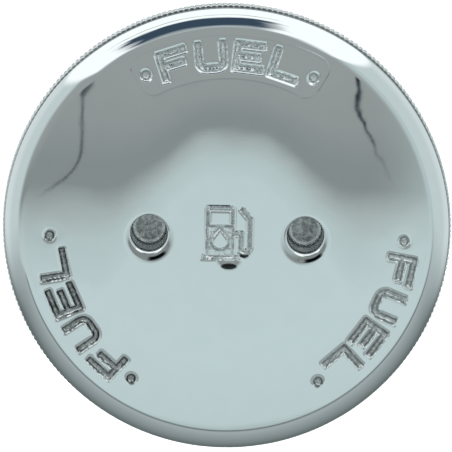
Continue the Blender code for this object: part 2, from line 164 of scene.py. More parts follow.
# Seal and swivel.
SEAL_RADIUS = 25.55
SEAL_HEIGHT = 13.0
SEAL_SECTION = 1.5
SHOULDER_RADIUS = 2.6
HEAD_RADIUS = 4.5
HEAD_BOTTOM = 10.0
HEAD_TOP = 12.0
SLOT_DEPTH = 1.0
SCREW_TOP = 18.5
WASHER_BOTTOM = 13.8
WASHER_TOP = 14.6
WASHER_RADIUS = 4.9
TAB_BOTTOM = 12.3
TAB_THICKNESS = 1.2
TAB_EYE_RADIUS = 5.0
TAB_HALF_WIDTH = 3.2
TAB_BEND_START = 8.2
TAB_BEND_RADIUS = 0.8
TAB_HOLE_RADIUS = 1.5
TAB_HOLE_DROP = 2.1
RING_PIVOT = (9.6, 0.0, 8.8)
RING_RADIUS = 3.6
RING_WIRE_RADIUS = 0.6
RING_SLIT_ANGLE = -65.0
RING_SLIT = 5.0

# Camera: nearly overhead, tipped a little toward the symbol's upper side.
CAMERA_DISTANCE = 700.0
CAMERA_TILT = 9.0
CAMERA_AZIMUTH = 93.5
CAMERA_ROLL = 1.0
CAMERA_LENS = 397.0
CAMERA_SHIFT = (-0.177, 1.165)  # across and up from a straight aim at the face's centre
FLOOR_HALF = 1500.0


# ---- shapes in the plan


def on_circle(radius, degrees, centre=(0.0, 0.0)):
    angle = math.radians(degrees)
    return (centre[0] + radius * math.cos(angle), centre[1] + radius * math.sin(angle))


def arc(radius, first, last, steps, centre=(0.0, 0.0)):
    return [on_circle(radius, first + (last - first) * i / steps, centre) for i in range(steps + 1)]


def circle(radius, count, centre=(0.0, 0.0)):
    turn = np.arange(count) * math.tau / count
    return np.stack([centre[0] + radius * np.cos(turn), centre[1] + radius * np.sin(turn)], 1)


def mirrored(outline):
    return [(-x, y) for x, y in reversed(outline)]


def shifted(outline, across):
    return [(x + across, y) for x, y in outline]


def letter_core():
    """A letter's half width, half height and stroke, less the rounding that goes round them."""
    half_width, half_height = LETTER_WIDTH / 2 - LETTER_ROUND, LETTER_HEIGHT / 2 - LETTER_ROUND
    return half_width, half_height, LETTER_STROKE - 2 * LETTER_ROUND


def letter_with_arms(*arms):
    """A stem with arms that run right: each arm's lower edge, upper edge and end."""
    right, top, bar = letter_core()
    stem = bar - right
    side = [(stem, -top)]
    for low, high, end in arms:
        side += [(stem, low), (end, low), (end, high), (stem, high)]
    outline = [(-right, -top)] + side + [(stem, top), (-right, top)]
    return list(dict.fromkeys(outline))


def letter_arms():
    """The arms at the foot, the middle and the head of a letter."""
    right, top, bar = letter_core()
    return (-top, bar - top, right), (-bar / 2, bar / 2, 0.7 * right), (top - bar, top, right)


def letter_u():
    right, top, bar = letter_core()
    bend = 1.3
    centre = (bend - right, bend - top)
    half = [(-right, top), *arc(bend, 180, 270, 8, centre)]
    inside = [*arc(bend - bar, 270, 180, 5, centre), (bar - right, top)]
    return half + mirrored(half) + mirrored(inside) + inside


def legend_glyphs():
    """The word FUEL between two dots: each outline with its angle from the word's middle."""
    foot, waist, head = letter_arms()
    letters = [letter_with_arms(waist, head), letter_u(), letter_with_arms(foot, waist, head),
               letter_with_arms(foot)]
    middle = (len(letters) - 1) / 2
    glyphs = [((middle - i) * LETTER_PITCH, outline) for i, outline in enumerate(letters)]
    dot = circle(DOT_RADIUS - LETTER_ROUND, 24)
    return glyphs + [(DOT_OFFSET, dot), (-DOT_OFFSET, dot)]


def pump_outline():
    half, foot = PUMP_WIDTH / 2, FLANGE_WIDTH / 2
    ledge = PUMP_BASE + FLANGE_HEIGHT
    corner = (half - PUMP_CORNER, PUMP_TOP - PUMP_CORNER)
    side = [(foot, PUMP_BASE), (foot, ledge), (half, ledge), *arc(PUMP_CORNER, 0, 90, 5, corner)]
    return shifted(side + mirrored(side), SYMBOL_CENTRE)


def hose_line():
    side = SYMBOL_CENTRE + PUMP_WIDTH / 2
    bend = (HOSE_FAR - HOSE_NEAR) / 2
    turn = arc(bend, 180, 360, 12, (HOSE_NEAR + bend, HOSE_U_HEIGHT))
    start = [(side - 0.3, HOSE_OUTLET), (HOSE_NEAR, HOSE_OUTLET)]
    return start + turn + [(HOSE_FAR, HOSE_ELBOW), NOZZLE_TIP]


def stroke_outline(line, width):
    """The outline of a line drawn with a square-ended pen."""
    points = [Vector(point) for point in line]
    steps = [(b - a).normalized() for a, b in zip(points, points[1:])]
    left, right = [], []
    for i, point in enumerate(points):
        before, after = steps[max(i - 1, 0)], steps[min(i, len(steps) - 1)]
        along = (before + after).normalized()
        side = Vector((-along.y, along.x)) * (width / 2 / along.dot(after))
        left.append((point + side)[:])
        right.append((point - side)[:])
    return left + right[::-1]


def window_outline():
    half = WINDOW_WIDTH / 2
    side = [(half, WINDOW_BOTTOM), (half, WINDOW_TOP)]
    return shifted(side + mirrored(side), SYMBOL_CENTRE)


def drop_outline():
    """A drop: a round belly whose sides run on, as tangents, to the tip."""
    touch = math.degrees(math.acos(DROP_RADIUS / (DROP_TIP - DROP_CENTRE)))
    belly = arc(DROP_RADIUS, 90 + touch, 450 - touch, 20, (0.0, DROP_CENTRE))
    return shifted(belly + [(0.0, DROP_TIP)], SYMBOL_CENTRE)


def outline_distance(points, outline):
    """Signed distance to a closed outline, negative inside, and the nearest point on it."""
    start = np.asarray(outline, float)
    side = np.roll(start, -1, axis=0) - start
    away = points[:, None] - start
    share = np.clip((away * side).sum(2) / (side ** 2).sum(1), 0.0, 1.0)
    touch = start + share[..., None] * side
    gaps = np.linalg.norm(points[:, None] - touch, axis=2)
    rows, best = np.arange(len(points)), gaps.argmin(1)
    end = start + side
    x, y = points[:, :1], points[:, 1:]
    straddles = (start[:, 1] > y) != (end[:, 1] > y)
    rise = np.where(side[:, 1] == 0, 1.0, side[:, 1])
    crosses = straddles & (x < start[:, 0] + (y - start[:, 1]) * side[:, 0] / rise)
    inside = crosses.sum(1) % 2 == 1
    return np.where(inside, -1.0, 1.0) * gaps[rows, best], touch[rows, best]


def joined(first, second):
    """The union of two distance fields; an outline's own field is a pair of arrays."""
    nearer = first[0] <= second[0]
    return np.where(nearer, first[0], second[0]), np.where(nearer[:, None], first[1], second[1])


def without(first, second):
    """The first field's shape with the second's shape left standing in it."""
    outer = first[0] >= -second[0]
    return np.where(outer, first[0], -second[0]), np.where(outer[:, None], first[1], second[1])


def swollen(points, field, radius):
    """The field of a shape swollen by a radius, which rounds its outward corners."""
    distance, edge = field
    safe = np.where(np.abs(distance) < 1e-6, 1e-6, distance)
    return distance - radius, edge + (points - edge) / safe[:, None] * radius


def legend_field(points):
    """Distance to the nearest letter or dot, where one is close, and its nearest edge."""
    gap = np.full(len(points), 9.0)
    edge = points.copy()
    for centre in LEGEND_CENTRES:
        for offset, outline in legend_glyphs():
            turn = math.radians(centre + offset - 90.0)
            c, s = math.cos(turn), math.sin(turn)
            spin = np.array([[c, -s], [s, c]])
            middle = spin @ np.array([0.0, LEGEND_RADIUS])
            close = np.flatnonzero(((points - middle) ** 2).sum(1) < 6.0 ** 2)
            local = (points[close] - middle) @ spin
            distance, touch = swollen(local, outline_distance(local, outline), LETTER_ROUND)
            nearer = distance < gap[close]
            gap[close[nearer]] = distance[nearer]
            edge[close[nearer]] = touch[nearer] @ spin.T + middle
    return gap, edge


def symbol_field(points):
    """Distance to the sunk pump and hose, less the window and the drop that stand in it."""
    gap = np.full(len(points), 9.0)
    edge = points.copy()
    close = np.flatnonzero((points ** 2).sum(1) < 8.0 ** 2)
    near = points[close]
    sunk = joined(outline_distance(near, pump_outline()),
                  outline_distance(near, stroke_outline(hose_line(), HOSE_STROKE)))
    islands = joined(outline_distance(near, window_outline()), outline_distance(near, drop_outline()))
    gap[close], edge[close] = without(sunk, islands)
    return gap, edge


def from_axis(points):
    return np.hypot(points[:, 0], points[:, 1])


def bearings(points):
    """Degrees round the axis from +X."""
    return np.degrees(np.arctan2(points[:, 1], points[:, 0]))


def ridge_distance(points):
    """Distance from the ridge round the word at +Y: a box bent to the word's arc, and rounded."""
    up = np.abs(from_axis(points) - LEGEND_RADIUS) - RIDGE_BOX[0]
    along = np.radians(np.abs(bearings(points) - LEGEND_CENTRES[0]) - RIDGE_BOX[1]) * LEGEND_RADIUS
    outside = np.hypot(np.maximum(up, 0.0), np.maximum(along, 0.0))
    return np.abs(outside + np.minimum(np.maximum(up, along), 0.0) - RIDGE_OFFSET)


def hole_distance(points):
    """Distance from the nearer spanner hole's axis."""
    return np.hypot(np.abs(points[:, 0]) - HOLE_CENTRE, points[:, 1])


# ---- heights


def smooth_step(value, low, high):
    share = np.clip((value - low) / (high - low), 0.0, 1.0)
    return share * share * (3.0 - 2.0 * share)


def dome_height(radius):
    return CAP_HEIGHT - DOME_RADIUS + np.sqrt(DOME_RADIUS ** 2 - radius ** 2)


def sunk_depth(distance, depth, lip, lip_drop, run):
    """Depth below the face: a buffed lip, a leaning wall and a floor with a small fillet."""
    over = np.clip((lip - distance) / lip, 0.0, 1.0)
    down = np.clip(-distance / run, 0.0, 1.0)
    return lip_drop * over ** 2 + (depth - lip_drop) * (1.0 - (1.0 - down) ** 1.3)


def scooped(points):
    """The scoops under the symbol: their depth, and how dark they are painted, a painted reflection."""
    depth, dark = np.zeros(len(points)), np.zeros(len(points))
    for x, y, half, reach in SCOOPS:
        window = np.clip(1.0 - ((points[:, 0] - x) / half) ** 2, 0.0, 1.0) ** 2
        below = (y - points[:, 1]) / reach
        fall = np.interp(below, (-0.4, 0.0, 0.9, 1.7), (0.0, 0.22, 0.09, 0.0))
        depth = np.maximum(depth, fall * reach * window)
        spot = (2.0 * (points[:, 0] - x) / half) ** 2 + ((below - 0.9) / 0.45) ** 2
        dark = np.maximum(dark, smooth_step(spot, 1.1, 0.7))
    return depth, dark


def cast_mask(distance, floor, foot):
    """The mask for a sunk shape: its floor, and a rougher, darker band along the foot of its wall."""
    inside = smooth_step(-distance, 0.0, 0.14)
    return inside * floor + foot * np.exp(-((distance + 0.2) / 0.1) ** 2)


def cast_lumps(plan):
    """Smooth lumps of about half a millimetre, as a plated casting has."""
    return np.array([noise.noise(Vector((x, y, 0.0)) * LUMP_FREQUENCY) for x, y in plan]) * LUMP_HEIGHT


def ceiling_height(points):
    """The hollow's ceiling with its centre boss, screw hole and the two pads."""
    radius = from_axis(points)
    boss = np.interp(
        radius,
        (0.0, 2.1, 2.22, 2.32, 4.75, 4.92, 5.0, 5.12, 5.3, 5.8),
        (18.7, 18.7, 15.0, BOSS_BOTTOM, BOSS_BOTTOM, 14.97, 15.15, 16.9, 17.35, CEILING))
    pad = np.interp(
        hole_distance(points),
        (0.0, 4.35, 4.52, 4.6, 4.75, 4.95, 5.4),
        (PAD_BOTTOM, PAD_BOTTOM, 13.97, 14.15, 17.0, 17.4, CEILING))
    return np.where(radius < 5.6, boss, np.minimum(boss, pad))


# ---- mesh building


class Skin:
    """Points and faces of one mesh, with the mask at each point."""

    def __init__(self):
        self.points, self.masks, self.faces, self.count = [], [], [], 0

    def add(self, points, rough=0.0):
        points = np.asarray(points, float)
        self.points.append(points)
        self.masks.append(np.broadcast_to(np.asarray(rough, float), len(points)))
        self.count += len(points)
        return np.arange(self.count - len(points), self.count)

    def strip(self, near, far):
        """Quads from one closed ring of points to the next."""
        quads = np.stack([near, far, np.roll(far, -1), np.roll(near, -1)], 1)
        self.faces += quads.tolist()

    def rings(self, rings, rough=0.0, start=None):
        """Adds rings of points in turn, each joined to the one before."""
        for ring in rings:
            made = self.add(ring, rough)
            if start is not None:
                self.strip(start, made)
            start = made
        return start

    def hoop(self, rings):
        """Adds rings of points round a closed section, the last joined to the first."""
        made = [self.add(ring) for ring in rings]
        for near, far in zip(made, made[1:] + made[:1]):
            self.strip(far, near)

    def thin_out(self, near, far):
        """Triangles from a dense ring to one with fewer points."""
        share = len(near) // len(far)
        for j in range(len(far)):
            here, following = far[j], far[(j + 1) % len(far)]
            for i in range(share):
                a, b = near[j * share + i], near[(j * share + i + 1) % len(near)]
                self.faces.append([a, here if i < share // 2 else following, b])
            self.faces.append([near[j * share + share // 2], here, following])

    def fill(self, ring, ring_plan, plan, points, rough, upward):
        """Triangulates the inside of a ring through more points, by their places in the plan."""
        inner = self.add(points, rough)
        numbers = np.concatenate([ring, inner])
        places = [Vector(place) for place in np.concatenate([ring_plan, plan])]
        made = delaunay_2d_cdt(places, [], [], 0, 1e-7)
        kept = np.array([numbers[same[0]] for same in made[3]])
        corners = [made[0][i] for i in made[2][0]]
        turns = (corners[1] - corners[0]).cross(corners[2] - corners[0]) > 0
        triangles = kept[np.array(made[2])]
        self.faces += (triangles if turns == upward else triangles[:, ::-1]).tolist()

    def piece(self, name, material, body, node, sharp=35.0):
        mesh = bpy.data.meshes.new(name)
        mesh.from_pydata((np.concatenate(self.points) * MM).tolist(), [], self.faces)
        mesh.attributes.new("cast_skin", "FLOAT", "POINT")
        mesh.attributes["cast_skin"].data.foreach_set("value", np.concatenate(self.masks))
        add_piece(name, mesh, material, body, node, sharp)


def add_piece(name, mesh, material, body, node, sharp=35.0):
    mesh.validate()
    mesh.shade_smooth()
    mesh.set_sharp_from_angle(angle=math.radians(sharp))
    mesh.materials.append(material)
    thing = bpy.data.objects.new(name, mesh)
    bpy.context.scene.collection.objects.link(thing)
    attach(thing, body)
    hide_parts(node)
    return thing


def ring_at(radius, height, count):
    """A level ring of points; the radius and the height may each vary round it."""
    plan = circle(1.0, count)
    radius = np.broadcast_to(np.asarray(radius, float), count)
    height = np.broadcast_to(np.asarray(height, float), count)
    return np.column_stack([plan * radius[:, None], height])


def lathe_rings(profile, count):
    return [ring_at(radius, height, count) for radius, height in profile]


# ---- the casting


def face_lattice():
    """Plan points for the face: fine round everything sunk, and coarser away from it."""
    reach = int(FACE_EDGE / LATTICE)
    steps = np.arange(-reach, reach + 1)
    i, j = (part.ravel() for part in np.meshgrid(steps, steps))
    points = np.stack([i, j], 1) * LATTICE
    radius = from_axis(points)
    nearest = np.minimum(legend_field(points)[0], symbol_field(points)[0] - 0.9)
    nearest = np.minimum(nearest, hole_distance(points) - HOLE_REACH + 0.25)
    nearest = np.minimum(nearest, FACE_EDGE - radius + 0.15)
    kept = (nearest < FINE_REACH) | (ridge_distance(points) < 2.2 * RIDGE_WIDTH)
    for spacing, limit in ((2, 1.0), (4, 2.2), (8, 99.0)):
        kept |= (nearest < limit) & (i % spacing == 0) & (j % spacing == 0)
    kept &= radius < FACE_EDGE - 0.7 * LATTICE
    kept &= hole_distance(points) > HOLE_REACH + 0.7 * LATTICE
    return points[kept]


def snapped(points, field, level):
    """Moves points that lie close to a contour of the field on to it, for a clean edge."""
    distance, edge = field
    near = np.abs(distance - level) < 0.45 * LATTICE
    near &= np.abs(distance) > 1e-4
    out = (points[near] - edge[near]) / distance[near, None]
    moved = points.copy()
    moved[near] = edge[near] + out * level
    return moved


def painted_highlight_walls(plan, distance):
    """Which points are on a wall that faces +Y, from 0 to 1: those walls are made smoother and lighter in
    colour, a painted highlight.
    """
    step = 0.05
    ahead = plan + (0.0, step)
    climb = (distance - np.minimum(legend_field(ahead)[0], symbol_field(ahead)[0])) / step
    return smooth_step(climb, 0.55, 0.95) * smooth_step(distance, -0.45, -0.3)


def face_points():
    """The face's points, each with its place in the plan and its cast mask."""
    plan = face_lattice()
    for field, run in ((legend_field, LEGEND_WALL), (symbol_field, SYMBOL_WALL)):
        for level in (0.0, -run):
            plan = snapped(plan, field(plan), level)
    legend, symbol = legend_field(plan)[0], symbol_field(plan)[0]
    scoop, dark = scooped(plan)
    darkening = np.interp(bearings(plan), LEGEND_CENTRES, LEGEND_DARKENING, period=360.0)
    mask = np.maximum(cast_mask(legend, 1.0 + darkening, darkening), cast_mask(symbol, *SYMBOL_MASKS))
    # Walls facing +Y lose most of their mask: smoother, and lighter in colour, which is a painted
    # highlight.
    mask *= 1.0 - 0.85 * painted_highlight_walls(plan, np.minimum(legend, symbol))
    height = dome_height(from_axis(plan))
    height += cast_lumps(plan) * np.clip(mask, 0.0, 1.0) * np.where(symbol < 1.0, 0.6, 1.0)
    height -= BUFF_DIP * np.exp(-(legend / BUFF_REACH) ** 2)
    height += RIDGE_HEIGHT * np.exp(-(ridge_distance(plan) / RIDGE_WIDTH) ** 2)
    height -= sunk_depth(legend, LEGEND_DEPTH, LEGEND_LIP, LEGEND_LIP_DROP, LEGEND_WALL)
    symbol_depth = sunk_depth(symbol, SYMBOL_DEPTH, SYMBOL_LIP, SYMBOL_LIP_DROP, SYMBOL_WALL)
    height -= np.maximum(symbol_depth, scoop)
    # Under the scoops the mask goes below 0: a painted dark reflection.
    return plan, np.column_stack([plan, height]), mask + SCOOP_MASK * dark * smooth_step(symbol, 0.1, 0.25)


def lip_profile(steps=40):
    """Shares of the lip's width, from the hole's wall out, with its fall below the face.

    From outside, the lip eases into a shallow dish and only then rolls over into the hole.
    """
    across = np.linspace(0.0, 1.0, 401)
    slope = np.tan(np.radians(np.interp(
        across, (0.0, 0.04, 0.12, 0.26, 0.275, 0.3, 0.45, 0.62, 0.7, 0.85, 1.0),
        (88.0, 62.0, 52.0, 40.0, 14.5, 12.5, 11.0, 8.5, 5.0, 3.5, 0.0))))
    falls = (slope[1:] + slope[:-1]) / 2 * np.diff(across)
    fall = np.append(np.cumsum(falls[::-1])[::-1], 0.0)
    length = np.append(0.0, np.cumsum(np.hypot(np.diff(across), np.diff(fall))))
    at = np.interp(np.linspace(0.0, length[-1], steps + 1), length, across)
    return at, np.interp(at, across, fall)


def hole_points(side):
    """A spanner hole's rings. In the plan they're spread evenly, so that its wall gets points."""
    turn = np.arange(HOLE_COLUMNS) * math.tau / HOLE_COLUMNS
    away = ((1.0 - np.sin(turn)) / 2) ** 1.5
    lip_width = HOLE_LIP_NARROW + (HOLE_LIP_WIDE - HOLE_LIP_NARROW) * away
    spot = smooth_step(np.cos(turn - math.radians(HOLE_SPOT_TURN)), 0.89, 0.97)
    lip = []
    for share, fall in zip(*lip_profile()):
        outer = smooth_step(share, 0.42, 0.5) * smooth_step(share, 0.76, 0.68)
        dished = smooth_step(share, 0.26, 0.3) * smooth_step(share, 0.8, 0.5)
        # Painted reflections: the dark patch on the outer lip, and the dish darkened on the side away from
        # +Y.
        dark = np.maximum(spot * outer, HOLE_DISH_PAINTED_DARK * away * dished)
        lip.append((HOLE_RADIUS + share * lip_width, fall * lip_width, -dark))
    low = HOLE_DEPTH - HOLE_FILLET
    wall = [(HOLE_RADIUS, low + (lip[0][1] - low) * i / 9, HOLE_WALL_MASK) for i in range(9)]
    centre = (HOLE_RADIUS - HOLE_FILLET, low)
    fillet = [(x, y, HOLE_FILLET_MASK) for x, y in reversed(arc(HOLE_FILLET, 15, 90, 5, centre))]
    floor = [(centre[0] * i / 9, HOLE_DEPTH, HOLE_FLOOR_MASK) for i in range(1, 9)]
    reach = HOLE_RADIUS + lip_width + (HOLE_REACH - HOLE_RADIUS - lip_width) * 0.5
    rows = floor + fillet + wall + lip + [(reach, 0.0, 0.0), (HOLE_REACH, 0.0, 0.0)]
    plans, places, masks = [], [], []
    for i, (radius, drop, mask) in enumerate(rows):
        thin = i < len(floor)
        count = max(12, HOLE_COLUMNS * (i + 1) // 9) if thin else HOLE_COLUMNS
        middle = np.array([side * HOLE_CENTRE, 0.0])
        ring = middle + circle(1.0, count) * np.broadcast_to(radius, count)[:, None]
        mask = np.broadcast_to(mask, count)
        height = dome_height(from_axis(ring)) - drop
        height += HOLE_LUMPS * cast_lumps(ring) * np.clip(mask, 0.0, 1.0)
        plans.append(circle(HOLE_REACH * (i + 1) / len(rows), count, middle))
        places.append(np.column_stack([ring, height]))
        masks.append(mask)
    return np.concatenate(plans), np.concatenate(places), np.concatenate(masks)


def shoulder_profile(steps=16):
    """The rolled edge: a superellipse from the dome to the rim."""
    fall = dome_height(WALL_RADIUS) - RIM_TOP
    between = 0.5 * (FACE_EDGE + SHOULDER_START)
    profile = [(between, dome_height(between))]
    for i in range(steps + 1):
        turn = math.pi / 2 * i / steps
        share = math.sin(turn) ** (2 / SHOULDER_POWER)
        level = max(0.0, math.cos(turn)) ** (2 / SHOULDER_POWER)
        radius = SHOULDER_START + (WALL_RADIUS - SHOULDER_START) * share
        profile.append((radius, dome_height(radius) - fall * (1.0 - level)))
    return profile


def knurl_rings():
    """The straight knurl, with a dark crease above it, which is painted shade; each ring comes with its
    mask.
    """
    crest = CAP_RADIUS - KNURL_DEPTH * (1.0 - np.tile(TOOTH, KNURL_TEETH))
    top, worn = RIM_TOP - KNURL_DROP, KNURL_MASK
    # The first three rows' masks below 0 paint the crease above the teeth dark: painted shade.
    rows = [
        (WALL_RADIUS - 0.02, RIM_TOP - 0.12, -0.5), (WALL_RADIUS - 0.02, top + 0.08, -0.9),
        (WALL_RADIUS + 0.03, top, -0.5), (crest - 0.07, top, 0.1), (crest, top - 0.1, worn),
        (crest, 0.5 * (RIM_TOP + SEAT_HEIGHT), worn), (crest, SEAT_HEIGHT + 0.5, worn),
        (crest - 0.07, SEAT_HEIGHT + 0.36, worn), (WALL_RADIUS, SEAT_HEIGHT + 0.33, worn),
        (WALL_RADIUS - 0.35, SEAT_HEIGHT, worn),
    ]
    return [(ring_at(radius, height, RIM_COLUMNS), mask) for radius, height, mask in rows]


def thread_lines(turn):
    """For each column, the heights of the ridge's middles and how far each stands out."""
    starts = turn / math.tau + np.arange(3)[:, None]
    rise = np.clip(np.minimum(starts, THREAD_TURNS - starts) / THREAD_FADE, 0.0, 1.0)
    present = (starts >= 0.0) & (starts <= THREAD_TURNS)
    return THREAD_START + THREAD_PITCH * starts, np.where(present, 0.2 + 0.8 * rise, 0.0)


def thread_rings():
    """The spigot's outside with its ridge, from the groove down to the rim's chamfer."""
    turn = np.arange(SPIGOT_COLUMNS) * math.tau / SPIGOT_COLUMNS
    middles, rises = thread_lines(turn)
    rings = []
    for height in np.arange(12.2, 0.9, -THREAD_STEP):
        z = np.full(SPIGOT_COLUMNS, height)
        for edge in (-0.94, -THREAD_HALF_TIP, THREAD_HALF_TIP, 0.94):
            close = (np.abs(middles + edge - height) < THREAD_STEP / 2) & (rises > 0.3)
            z = np.where(close.any(0), np.where(close, middles + edge, 0.0).sum(0), z)
        flank = THREAD_HALF_BASE - THREAD_HALF_TIP
        slope = np.clip((THREAD_HALF_BASE - np.abs(z - middles)) / flank, 0, 1)
        ridge = (THREAD_ROOT + (THREAD_RADIUS - THREAD_ROOT) * slope * rises).max(0)
        rings.append(ring_at(np.maximum(SPIGOT_RADIUS, ridge), z, SPIGOT_COLUMNS))
    return rings


def spigot_rings():
    """Seat, seal groove, threaded spigot, lower rim and the hollow's wall and fillet."""
    top = GROOVE_TOP
    groove = [
        (GROOVE_RADIUS + 0.2, SEAT_HEIGHT), (GROOVE_RADIUS, SEAT_HEIGHT + 0.2),
        (GROOVE_RADIUS, top - 0.3), (GROOVE_RADIUS - 0.3, top), (SPIGOT_RADIUS + 0.3, top),
        (SPIGOT_RADIUS, top - 0.3), (SPIGOT_RADIUS, SEAT_HEIGHT),
    ]
    rim = [
        (SPIGOT_RADIUS, 0.62), (SPIGOT_RADIUS - 0.15, 0.4), (SPIGOT_RADIUS - 0.55, 0.02),
        (SPIGOT_RADIUS - 0.7, 0.0), (CAVITY_RADIUS + 0.65, 0.0), (CAVITY_RADIUS + 0.5, 0.04),
        (CAVITY_RADIUS + 0.06, 0.5), (CAVITY_RADIUS, 0.7),
    ]
    wall = [(CAVITY_RADIUS, 0.7 + 14.4 * i / 8) for i in range(1, 8)]
    fillet = arc(CAVITY_FILLET, 0, 90, 8, (CAVITY_RADIUS - CAVITY_FILLET, CEILING - CAVITY_FILLET))
    inside = lathe_rings(rim + wall + fillet, SPIGOT_COLUMNS)
    return lathe_rings(groove, SPIGOT_COLUMNS) + thread_rings() + inside


def ceiling_points():
    """Plan points for the ceiling: rings where the boss and pads turn, and a lattice between."""
    plans = [circle(r, 60) for r in (2.1, 2.22, 2.32, 3.4, 4.75, 4.92, 5.0, 5.12, 5.3, 5.55)]
    plans += [circle(0.9, 24), np.zeros((1, 2))]
    for side in (-1, 1):
        centre = (side * HOLE_CENTRE, 0.0)
        for radius in (1.5, 3.0, 4.35, 4.52, 4.6, 4.75, 4.95, 5.4):
            ring = circle(radius, 60, centre)
            plans.append(ring[from_axis(ring) > 5.6])
        plans.append(np.array([centre]))
    steps = np.arange(-18.0, 18.5, 1.0)
    lattice = np.stack([part.ravel() for part in np.meshgrid(steps, steps)], 1)
    radius = from_axis(lattice)
    open_floor = (radius < 17.8) & (radius > 6.1) & (hole_distance(lattice) > 5.7)
    plans.append(lattice[open_floor])
    return np.concatenate(plans)


def build_casting(material):
    skin = Skin()
    edge = ring_at(FACE_EDGE, dome_height(FACE_EDGE), RIM_COLUMNS)
    rim = skin.add(edge)
    parts = [face_points(), hole_points(-1), hole_points(1)]
    plan, places, masks = (np.concatenate(group) for group in zip(*parts))
    skin.fill(rim, edge[:, :2], plan, places, masks, upward=True)
    last = skin.rings(lathe_rings(shoulder_profile(), RIM_COLUMNS), start=rim)
    for ring, mask in knurl_rings():
        last = skin.rings([ring], mask, last)
    seat = skin.add(ring_at(GROOVE_RADIUS + 3.0, SEAT_HEIGHT, SPIGOT_COLUMNS), KNURL_MASK)
    skin.thin_out(last, seat)
    last = skin.rings(spigot_rings(), SPIGOT_MASK, start=seat)
    roof_edge = circle(CAVITY_RADIUS - CAVITY_FILLET, SPIGOT_COLUMNS)
    roof = ceiling_points()
    places = np.column_stack([roof, ceiling_height(roof)])
    skin.fill(last, roof_edge, roof, places, CEILING_MASK, upward=False)
    skin.piece("cap_casting", material, "cap", "cap_body", sharp=42.0)


# ---- seal and swivel


def build_seal(material):
    """A moulded ring: round in section, with a fine flash line inside and outside."""
    section = []
    for i in range(28):
        turn = 360.0 * i / 28
        flash = max(0.0, 1.0 - abs(math.sin(math.radians(turn))) / 0.12)
        section.append(on_circle(SEAL_SECTION - 0.035 * (1.0 - flash), turn, (SEAL_RADIUS, SEAL_HEIGHT)))
    skin = Skin()
    skin.hoop(lathe_rings(section, 144))
    skin.piece("seal_ring", material, "cap", "o_ring", sharp=60.0)


def screw_head_points():
    """Plan points for the screw's head: rings on its crown and rows along its slot."""
    plans = [circle(r, 72) for r in (2.2, 3.0, 3.4, 3.65, 3.9, 4.1, 4.27, 4.4)]
    plans = [ring[np.abs(ring[:, 1]) > 0.85] for ring in plans]
    across = np.arange(-4.35, 4.36, 0.3)
    for y in (-0.72, -0.63, -0.56, -0.5, 0.0, 0.5, 0.56, 0.63, 0.72):
        row = np.column_stack([across, np.full(len(across), y)])
        plans.append(row[from_axis(row) < 4.42])
    lattice = np.array([(x, y) for x in (-1.2, -0.4, 0.4, 1.2) for y in (-1.5, 1.5)])
    return np.concatenate(plans + [lattice])


def screw_head_height(points):
    crown = 1.1
    past = np.clip(from_axis(points) - (HEAD_RADIUS - crown), 0.0, crown)
    domed = HEAD_BOTTOM + crown - np.sqrt(crown ** 2 - past ** 2)
    share = np.interp(np.abs(points[:, 1]), (0.0, 0.5, 0.56, 0.63, 0.72), (1.0, 1.0, 0.93, 0.12, 0.0))
    return domed + share * np.clip(HEAD_BOTTOM + SLOT_DEPTH - domed, 0.0, None)


def build_screw(material):
    skin = Skin()
    count = 72
    plan = circle(HEAD_RADIUS, count)
    rim = skin.add(np.column_stack([plan, np.full(count, HEAD_BOTTOM + 1.1)]))
    inner = screw_head_points()
    skin.fill(rim, plan, inner, np.column_stack([inner, screw_head_height(inner)]), 0.0, upward=False)
    profile = [
        (HEAD_RADIUS, HEAD_TOP - 0.15), (HEAD_RADIUS - 0.15, HEAD_TOP),
        (SHOULDER_RADIUS + 0.12, HEAD_TOP), (SHOULDER_RADIUS, HEAD_TOP + 0.12),
        (SHOULDER_RADIUS, 14.48), (SHOULDER_RADIUS - 0.12, 14.6), (2.0, 14.6),
        (2.0, SCREW_TOP - 0.4), (1.6, SCREW_TOP),
    ]
    last = rim
    for radius, height in profile:
        ring = skin.add(ring_at(radius, height, count))
        skin.strip(ring, last)
        last = ring
    tip = skin.add([(0.0, 0.0, SCREW_TOP)])[0]
    skin.faces += [[a, b, tip] for a, b in zip(last, np.roll(last, -1))]
    skin.piece("shoulder_screw", material, "cap", "swivel_screw", sharp=38.0)


def build_washer(material):
    inner = SHOULDER_RADIUS + 0.3
    cut = 0.12
    section = [
        (inner, WASHER_BOTTOM + cut), (inner + cut, WASHER_BOTTOM), (WASHER_RADIUS - cut, WASHER_BOTTOM),
        (WASHER_RADIUS, WASHER_BOTTOM + cut), (WASHER_RADIUS, WASHER_TOP - cut),
        (WASHER_RADIUS - cut, WASHER_TOP), (inner + cut, WASHER_TOP), (inner, WASHER_TOP - cut),
    ]
    skin = Skin()
    skin.hoop(lathe_rings(section, 96))
    skin.piece("nylon_washer", material, "tab", "thrust_washer", sharp=30.0)


def plate(outline, holes, thickness):
    """A flat plate with holes, lying on Z = 0."""
    bm = bmesh.new()
    edges = []
    for loop in (outline, *holes):
        points = [bm.verts.new((x, y, 0.0)) for x, y in loop]
        edges += [bm.edges.new((a, b)) for a, b in zip(points, points[1:] + points[:1])]
    bmesh.ops.triangle_fill(bm, use_beauty=True, edges=edges)
    made = bmesh.ops.extrude_face_region(bm, geom=bm.faces[:])
    moved = [item for item in made["geom"] if isinstance(item, bmesh.types.BMVert)]
    bmesh.ops.translate(bm, verts=moved, vec=(0, 0, thickness))
    return bm


